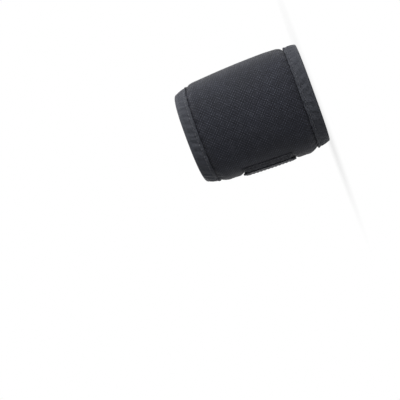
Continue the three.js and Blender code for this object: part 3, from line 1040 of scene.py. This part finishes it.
def tapeProfile(drop, seam):
    # Outer leg, round fold and inner leg: distance in from the edge and level, for a station's drops
    fold, full = tape["fold"], band["thickness"]
    leg = np.linspace(tape["width"], fold, tape["legPoints"])
    share = legShare(leg)
    crown = legCrown(share)
    turn = np.linspace(0, np.pi / 2, tape["foldPoints"] + 1)[1:]
    edge = np.concatenate([leg, fold - fold * np.sin(turn), fold - fold * np.cos(turn), leg[::-1][1:]])
    bent = fold * (np.cos(turn) - 1)
    upper = crown - mixed(drop, seam, share)
    inner = np.concatenate([-bent[::-1][1:], [0], -crown[::-1][1:]]) - full
    level = np.concatenate([upper, bent - drop, np.broadcast_to(inner, (len(drop), len(inner)))], 1)
    return np.broadcast_to(edge, level.shape), level


def tapeRelief(edge, along, z):
    # Moves of the two legs: slanting wrinkles, a dip along the row of stitches, and an outer sewn edge
    # that rises between them
    fromSewn = edge - tape["width"]
    lean = along + 0.5 * edge + z * 0.3
    wrinkle = strayingWave(2 * np.pi * lean / 6.9, 1.9, lean / 8.3) + 0.5 * np.sin(lean / 0.55)
    wrinkle = tape["wrinkle"] * wrinkle * ease(edge, *tape["wrinkleFrom"])
    wrinkle = wrinkle * ease(-fromSewn, *tape["wrinkleTo"])
    dip = tape["stitchDip"] * bell(fromSewn + tape["seamIn"], tape["seamReach"])
    gathers = 0.6 * np.cos(2 * np.pi * along / stitch["pitch"]) + strayingWave(along / 1.9, 2, along / 7)
    lip = tape["lift"] + tape["pucker"] * gathers
    lip = lip * bell(fromSewn + tape["puckerIn"], tape["puckerReach"])
    point = np.arange(edge.shape[1])
    onInner = point >= tape["legPoints"] + 2 * tape["foldPoints"]
    inner = np.where(onInner, dip - 0.5 * wrinkle, 0)
    return np.where(point < tape["legPoints"], wrinkle - dip + lip, inner)


def tapeNodes(name, side):
    ends = {"lower": "lower_binding", "back": "back_binding"}
    edges = ("wide", "narrow") if side == "end" else (side,)
    bodies = stretches[name]["bodies"]
    names = {ends.get(body) or body + "_" + edge + "_binding" for body in bodies for edge in edges}
    return sorted(names)


def addTape(name):
    for side, path in tapePath(name).items():
        s, z, inS, inZ = (part[:, None] for part in path)
        along = pathLength(*path[:2])[:, None]
        edge, level = tapeProfile(edgeDrop(s, z), seamDrop(s, z))
        strays = strayingWave(along / 1.3, 1.5, along / 4.7) + 0.7 * np.sin(along / 3.1 + z / 9)
        sewn = ease(edge, tape["width"] - tape["wanderFrom"], tape["width"])
        edge = edge + tape["wander"] * strays * sewn
        level = level + tapeRelief(edge, along, z)
        # The inside lies one thickness in, square to the section
        stepE, stepL = np.gradient(edge, axis=1), np.gradient(level, axis=1)
        size = np.hypot(stepE, stepL)
        insideE = edge - stepL / size * tape["thick"]
        insideL = level + stepE / size * tape["thick"]
        across = np.cumsum(np.hypot(np.diff(edge), np.diff(level)), 1)
        across = np.concatenate([0 * along, across], 1)
        sections = (edge, level), (insideE, insideL)
        faces = [wrapBand(s + reach * inS, z + reach * inZ, at) for reach, at in sections]
        uv = np.stack([np.broadcast_to(along, across.shape), across], -1)
        title = "tape_" + name + ("" if side == "end" else "_" + side)
        rims = (0, tape["rim"], 0, tape["rim"])
        piece = meshPiece(title, *slabMesh(*faces, uv, rims), tapeCloth, sharp=60)
        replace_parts(bendStretch(piece, name), *tapeNodes(name, side))
        "cover_" + name
        addSeam(title, name, path)


# Seams: short arched stitches

stitch = {
    "pitch": 3.1,
    "length": 2.5,
    "radius": 0.27,
    "strapPitch": 2.8,
    "sunk": 0.2,  # in the strap
    "patchSunk": 0.12,
    "insideSunk": 0.05,
}


def stitchesAlong(s, z, levelAt, side, pitch):
    # Starts, ends and up vectors of stitches at even steps along a line of the pattern
    along = pathLength(s, z)
    count = max(1, int(round(along[-1] / pitch)))
    step = along[-1] / count
    middle = (np.arange(count) + 0.5) * step
    half = stitch["length"] / stitch["pitch"] * step / 2
    tips = []
    for offset in (-half, half):
        sAt, zAt = (np.interp(middle + offset, along, line) for line in (s, z))
        tips.append(wrapBand(sAt, zAt, levelAt(sAt, zAt)))
    sMid, zMid = (np.interp(middle, along, line) for line in (s, z))
    return tips[0], tips[1], outwardAt(sMid, zMid) * side


def stitchPiece(title, rows):
    # A thread arched between two needle holes: highest and thickest in the middle, sunk at its ends
    starts, ends, ups = (np.concatenate(part) for part in zip(*rows))
    along = ends - starts
    length = np.linalg.norm(along, axis=1)
    a = np.linspace(-1, 1, 7)
    radius = stitch["radius"] * mm
    lift = radius * (0.75 * (1 - a**2) - 0.35 * a**4)
    centres = (starts + ends)[:, None] / 2 + along[:, None] * (a / 2)[:, None]
    centres = centres + ups[:, None] * lift[:, None]
    radii = np.broadcast_to(radius * np.sqrt(1 - 0.8 * a**6), centres.shape[:2])
    uv = np.arange(len(starts))[:, None] * length.mean() + (a / 2) * length[:, None]
    sides = np.cross(along / length[:, None], ups)
    frames = [np.broadcast_to(part[:, None], centres.shape) for part in (sides, ups)]
    return tubePiece(title, centres, *frames, radii, uv, seamThread)


def addSeam(title, name, path):
    # The same seam shows on both faces of the band
    s, z, inS, inZ = path
    reach = tape["width"] - tape["seamIn"]

    def outerAt(sAt, zAt):
        return tapeFace(reach, sAt, zAt) - tape["stitchDip"]

    def innerAt(sAt, zAt):
        return 0 * sAt - band["thickness"] + tape["stitchDip"] - stitch["insideSunk"]

    line = s + inS * reach, z + inZ * reach
    faces = (outerAt, 1), (innerAt, -1)
    rows = [stitchesAlong(*line, levelAt, side, stitch["pitch"]) for levelAt, side in faces]
    piece = stitchPiece(title.replace("tape", "seam"), rows)
    bendStretch(piece, name)


settleCover()
for stretch in stretches:
    addPadding(stretch)
    addCover(stretch)
    addLining(stretch)
    addTape(stretch)
    if stretch in carrier["tiles"]:
        addCarrier(stretch)


# Closing strap with its hook and loop patches

strap = {
    "width": 40,
    "thick": 1.2,
    "tail": 30,  # sewn on the back end
    "sewnFlat": 15,  # the last of the tail, past the band's own bend
    "reach": 50,  # free length
    "peelZone": (-4, 8),
    "tip": 8,
    "step": 1.0,
    "rim": 0.3,
    "droop": (0.2, 1.6),  # of its two long edges, where it lies flat and where it stands proud
    "proud": (0.5, 2.2),
    "curl": (2.4, -0.2),  # from a long edge, where the droop starts and ends
    "box": (-27, -5),  # sewn at the root
    "boxHalf": 16.5,
    # Underside: along from the end of the band, and level
    "path": ((-32, 0.3), (-17, 0.3), (-10, -0.55), (-1, -1.3), (8, -0.1), (19.25, 2.5), (42, 2.5),
             (49.5, 1.75), (70, 1.75)),
    "fine": 0.25,
    "smooth": 2.4,  # of the path's corners
}
strapTip = backEnd + strap["reach"]
strapSplit = backEnd - strap["sewnFlat"]


def strapUnder(s, z):
    # Underside of the strap: a smoothed line through the path's points, plus the swell that it lies on
    at, level = np.array(strap["path"]).T
    fine = np.arange(-45, 75, strap["fine"])
    kernel = bell(np.arange(-24, 25) * strap["fine"], strap["smooth"])
    line = np.convolve(np.interp(fine, at, level), kernel / kernel.sum(), "same")
    under = np.interp(s - backEnd, fine, line)
    droop = mixed(*strap["droop"], ease(under, *strap["proud"]))
    droop = droop * ease(strap["width"] / 2 - np.abs(z - midHeight), *strap["curl"])
    return under + swellAt(np.where(s > backEnd, s - perimeter, s), z) - droop


def strapSeam(s, z):
    return strapUnder(s, z) + strap["thick"] - stitch["sunk"]


def stripGrid(start, end, width, step, tipRadius=0.0):
    # Stations by rows of a strip along the middle of the band, whose last corners may be round
    atJoint = np.array([0, band["jointStep"]])
    atTip = tipRadius * (1 - np.cos(np.linspace(0, np.pi / 2, 12)))
    last = end - (atTip if tipRadius else atJoint)
    run = np.linspace(start, end - tipRadius, int((end - tipRadius - start) / step))
    stations = np.concatenate([start + atJoint, run[1:-1], last[::-1]])
    toTip = np.clip(end - stations, 0, tipRadius)
    drawIn = tipRadius - np.sqrt(np.maximum(tipRadius**2 - (tipRadius - toTip) ** 2, 0))
    half = (width / 2 - drawIn)[:, None]
    z = midHeight + half * np.linspace(-1, 1, int(width / step))[None, :]
    return np.broadcast_to(stations[:, None], z.shape), z


def strapPiece(title, start, end, tipRadius, rims):
    s, z = stripGrid(start, end, strap["width"], strap["step"], tipRadius)
    under = strapUnder(s, z)
    return sheetPiece(title, s, z, under + strap["thick"], under, strapWeb, rims)


def lineOf(*corners):
    # Points every millimetre along a line through the corners
    x, y = np.array(corners, float).T
    along = pathLength(x, y)
    at = np.linspace(0, along[-1], int(along[-1]) + 1)
    return np.interp(at, along, x), np.interp(at, along, y)


def boxOf(start, end, half):
    low, high = midHeight - half, midHeight + half
    return [(start, low), (end, low), (end, high), (start, high)]


def sewnSides(box, levelAt, crossed=False):
    # Rows of stitches along the sides of a box, and along its diagonals if it is crossed
    lines = list(zip(box, box[1:] + box[:1]))
    if crossed:
        lines += [(box[0], box[2]), (box[1], box[3])]
    return [stitchesAlong(*lineOf(*line), levelAt, 1, stitch["strapPitch"]) for line in lines]


def addStrap():
    # The sewn end, and the rest of the strap from the split on
    rim = strap["rim"]
    sewnEnd = strapPiece("strap_sewn_end", backEnd - strap["tail"], strapSplit, 0.0, (rim, rim, 0, rim))
    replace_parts(bendStretch(sewnEnd, "back"), "strap_root")
    web = strapPiece("strap", strapSplit, strapTip, strap["tip"], (0, rim, rim, rim))
    start, end = (tuple(wrapBand(backEnd + step, midHeight, 0.0)) for step in strap["peelZone"])
    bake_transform(web)
    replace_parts(web, "strap_root", "strap_web")
    box = boxOf(*(backEnd + at for at in strap["box"]), strap["boxHalf"])
    seam = stitchPiece("seam_strap_root", sewnSides(box, strapSeam, crossed=True))
    bendStretch(seam, "back")


hook = {
    "start": 19.25,
    "end": 43,
    "width": 37,
    "thick": 0.8,
    "gap": 0.3,
    "rim": 0.15,
    "step": 1.5,
    "seamIn": 1.5,
    "seamHalf": 16.8,
    "pitch": 1.55,
    "margin": (1.2, 1),
    "tall": 0.75,
    "straight": (-0.1, 0.25),  # heights of the stem below its curl
    "curl": 0.22,
    "radius": (0.15, 0.09),  # from foot to tip
}


def hookFace(s, z):
    # Where the hook tape lies against the strap
    return strapUnder(s, z) - hook["gap"]


def addHookPatch():
    start, end = backEnd + hook["start"], backEnd + hook["end"]
    box = boxOf(start + hook["seamIn"], end - hook["seamIn"], hook["seamHalf"])
    seam = stitchPiece("seam_hook_patch", sewnSides(box, strapSeam))
    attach(seam, "strap")
    s, z = stripGrid(start, end, hook["width"], hook["step"])
    top = hookFace(s, z)
    patch = sheetPiece("hook_tape", s, z, top, top - hook["thick"], hookPlastic, (hook["rim"],) * 4)
    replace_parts(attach(patch, "strap"), "hook_patch")


def everyPlace(at, up):
    return (part.ravel() for part in np.meshgrid(at, up, indexing="ij"))


def addHooks():
    # Rows of small stems that curl over at the top: a straight half and a half circle
    first, last = hook["margin"]
    at = np.arange(hook["start"] + first, hook["end"] - last, hook["pitch"])
    up = np.arange(first - hook["width"] / 2, hook["width"] / 2 - last, hook["pitch"])
    a, b = everyPlace(at, up)
    s, z = backEnd + a, midHeight + b
    foot = wrapBand(s, z, hookFace(s, z) - hook["thick"])
    inward = -outwardAt(s, z)
    way = aheadAt(s, z) * np.where(np.arange(len(s)) % 2 == 0, 1.0, -1.0)[:, None]
    bend = np.linspace(0, np.pi, 5)
    curl = hook["curl"]
    height = np.concatenate([hook["straight"], hook["tall"] - curl + curl * np.sin(bend)]) * mm
    shift = np.concatenate([[0, 0], curl * (1 - np.cos(bend))]) * mm
    centres = foot[:, None] + inward[:, None] * height[:, None] + way[:, None] * shift[:, None]
    radii = np.broadcast_to(np.linspace(*hook["radius"], len(height)) * mm, centres.shape[:2])
    uv = np.broadcast_to(height, centres.shape[:2])
    piece = curvedTubes("hooks", centres, np.cross(inward, way), radii, uv, hookPlastic)
    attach(piece, "strap")


loop = {
    "start": 11.3,  # from the end of the band
    "length": 46,
    "width": 38,
    "thick": 0.8,
    "gap": 0.25,
    "sewnGap": 0.08,
    "border": 2.3,  # without pile, where it is sewn down
    "seamIn": 1.3,
    "dip": 0.35,
    "rim": 0.15,
    "step": 0.7,
    "pitch": 1.0,
    "scatter": 0.35,
    "wide": (0.3, 0.55),  # half the width of an arch
    "tall": 0.55,
    "uneven": (0.7, 1.15),
    "sunk": 0.05,
    "radius": 0.1,
    "seed": 7,
}
loopStart = band["lowerEnd"] + loop["start"]
loopEnd = loopStart + loop["length"]


def loopBorder(s, z):
    # 1 along the sewn border of the patch, 0 inside it
    inside = np.minimum(s - loopStart, loopEnd - s)
    inside = np.minimum(inside, loop["width"] / 2 - np.abs(z - midHeight))
    return ease(inside, loop["border"], loop["seamIn"])


def loopFace(s, z):
    # Outer face of the patch, pulled down along its border
    return coverFace(s, z) + loop["gap"] + loop["thick"] - loop["dip"] * loopBorder(s, z)


def loopSeam(s, z):
    return loopFace(s, z) - stitch["patchSunk"]


def addLoopPatch():
    s, z = stripGrid(loopStart, loopEnd, loop["width"], loop["step"])
    under = coverFace(s, z) + mixed(loop["gap"], loop["sewnGap"], loopBorder(s, z))
    patch = sheetPiece("loop_tape", s, z, loopFace(s, z), under, loopPile, (loop["rim"],) * 4)
    inset = loop["seamIn"]
    box = boxOf(loopStart + inset, loopEnd - inset, loop["width"] / 2 - inset)
    seam = stitchPiece("seam_loop_patch", sewnSides(box, loopSeam))
    bendStretch(seam, "lower")
    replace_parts(bendStretch(patch, "lower"), "loop_patch")


def addLoops():
    # Small arches of yarn, scattered round a grid and turned at random
    rng = np.random.default_rng(loop["seed"])
    border, pitch, scatter = loop["border"], loop["pitch"], loop["scatter"]
    at = np.arange(border, loop["length"] - border + pitch / 10, pitch)
    up = np.arange(border, loop["width"] - border + pitch / 10, pitch) - loop["width"] / 2
    a, b = everyPlace(at, up)
    s = loopStart + a + rng.uniform(-scatter, scatter, a.shape)
    z = midHeight + b + rng.uniform(-scatter, scatter, a.shape)
    turn = rng.uniform(0, 2 * np.pi, a.shape)[:, None]
    wide = rng.uniform(*loop["wide"], a.shape)[:, None] * mm
    tall = loop["tall"] * rng.uniform(*loop["uneven"], a.shape)[:, None] * mm
    foot = wrapBand(s, z, loopFace(s, z))
    outward, ahead = outwardAt(s, z), aheadAt(s, z)
    way = np.cos(turn) * ahead + np.sin(turn) * np.cross(outward, ahead)
    arch = np.linspace(0, np.pi, 6)
    rise, run = tall * np.sin(arch) - loop["sunk"] * mm, -wide * np.cos(arch)
    centres = foot[:, None] + outward[:, None] * rise[..., None] + way[:, None] * run[..., None]
    radii = np.full(centres.shape[:2], loop["radius"] * mm)
    uv = np.broadcast_to(arch * 0.5 * mm, centres.shape[:2])
    piece = curvedTubes("loops", centres, np.cross(outward, way), radii, uv, loopThread)
    bendStretch(piece, "lower")


addStrap()
addHookPatch()
addHooks()
addLoopPatch()
addLoops()


# Floor, light and camera

studio = {
    "floor": (0.9, 0.9, 0.9, 1),
    "floorSize": 6,
    "floorAt": -0.0002,
    "floorGlow": 0.8,  # share of plain white that the camera sees on the floor near the object
    "fade": (0.055, 0.13),  # where that share grows to all of it
    "sky": 0.15,
    "skyGloss": 0.4,  # of the sky, in what shines
    "key": {"from": (0.84, -0.52, 0.08), "away": 0.75, "size": 0.5, "watts": 5.5},
    "fill": {"from": (-0.5, -0.8, 0.35), "away": 0.9, "size": 0.8, "watts": 0.17},
    "top": {"from": (0.4, 0.25, 0.9), "away": 0.9, "size": 0.7, "watts": 5.4},
    "back": {"from": (-0.12, 0.96, 0.25), "away": 0.9, "size": 0.8, "watts": 3.0},
}


def seenRays(tree, gloss):
    # 1 for rays that come from the camera, straight or through something, and a share for what shines
    path = tree.nodes.new("ShaderNodeLightPath").outputs
    kinds = ("Is Camera Ray", "Is Glossy Ray", "Is Transmission Ray")
    camera, glossy, through = (Wire(tree, path[kind]) for kind in kinds)
    return camera.math("MAXIMUM", glossy * gloss).math("MAXIMUM", through)


def makeFloor():
    bpy.ops.mesh.primitive_plane_add(size=studio["floorSize"], location=(0, 0, studio["floorAt"]))
    floor = bpy.context.object
    floor.name = "floor"
    paint = Finish("floor paint", {"Roughness": 0.9, "Specular IOR Level": 0.0})
    paint.feed({"Base Color": studio["floor"]})
    away = paint.node("VectorMath", {"operation": "LENGTH"}, {0: paint.solid()}, "Value")
    share = paint.spread(away, *studio["fade"], studio["floorGlow"], 1.0)
    glow = paint.node("Emission", {}, {"Color": (1, 1, 1, 1), "Strength": 1.0})
    lit = Wire(paint.tree, paint.shader.outputs[0])
    surface = paint.node("MixShader", {}, {0: seenRays(paint.tree, 1.0) * share, 1: lit, 2: glow})
    plug(paint.tree, paint.tree.nodes["Material Output"].inputs["Surface"], surface)
    floor.data.materials.append(paint.material)


def makeLight():
    world = bpy.data.worlds.new("studio sky")
    bpy.context.scene.world = world
    world.use_nodes = True
    tree = world.node_tree
    sky = tree.nodes["Background"].inputs
    plug(tree, sky["Color"], (1, 1, 1, 1))
    seen = seenRays(tree, studio["skyGloss"])
    plug(tree, sky["Strength"], seen * (1 - studio["sky"]) + studio["sky"])
    centre = Vector((0, 0, midHeight * mm))
    for name in ("key", "fill", "top", "back"):
        made = studio[name]
        lamp = bpy.data.lights.new(name, "AREA")
        lamp.size, lamp.energy = made["size"], made["watts"]
        holder = bpy.data.objects.new(name, lamp)
        way = Vector(made["from"]).normalized()
        holder.location = centre + way * made["away"]
        holder.rotation_euler = way.to_track_quat("Z", "Y").to_euler()
        bpy.context.scene.collection.objects.link(holder)


view = {
    "place": (0.002046, -0.693891, 0.020766),
    "right": (-0.349843, 0.090897, -0.932388),
    "up": (0.93448, 0.10399, -0.34049),
    "ahead": (-0.066009, 0.990416, 0.121322),
    "lens": 83.848,
    "sensor": 36,
    "clip": (0.01, 20),
}


def makeCamera():
    camera = bpy.data.objects.new("camera", bpy.data.cameras.new("camera"))
    turn = Matrix([view["right"], view["up"], [-a for a in view["ahead"]]]).transposed()
    camera.matrix_world = Matrix.Translation(view["place"]) @ turn.to_4x4()
    camera.data.lens, camera.data.sensor_width = view["lens"], view["sensor"]
    camera.data.clip_start, camera.data.clip_end = view["clip"]
    bpy.context.scene.collection.objects.link(camera)
    bpy.context.scene.camera = camera


makeFloor()
makeLight()
makeCamera()
bpy.context.scene.view_settings.view_transform = "Standard"

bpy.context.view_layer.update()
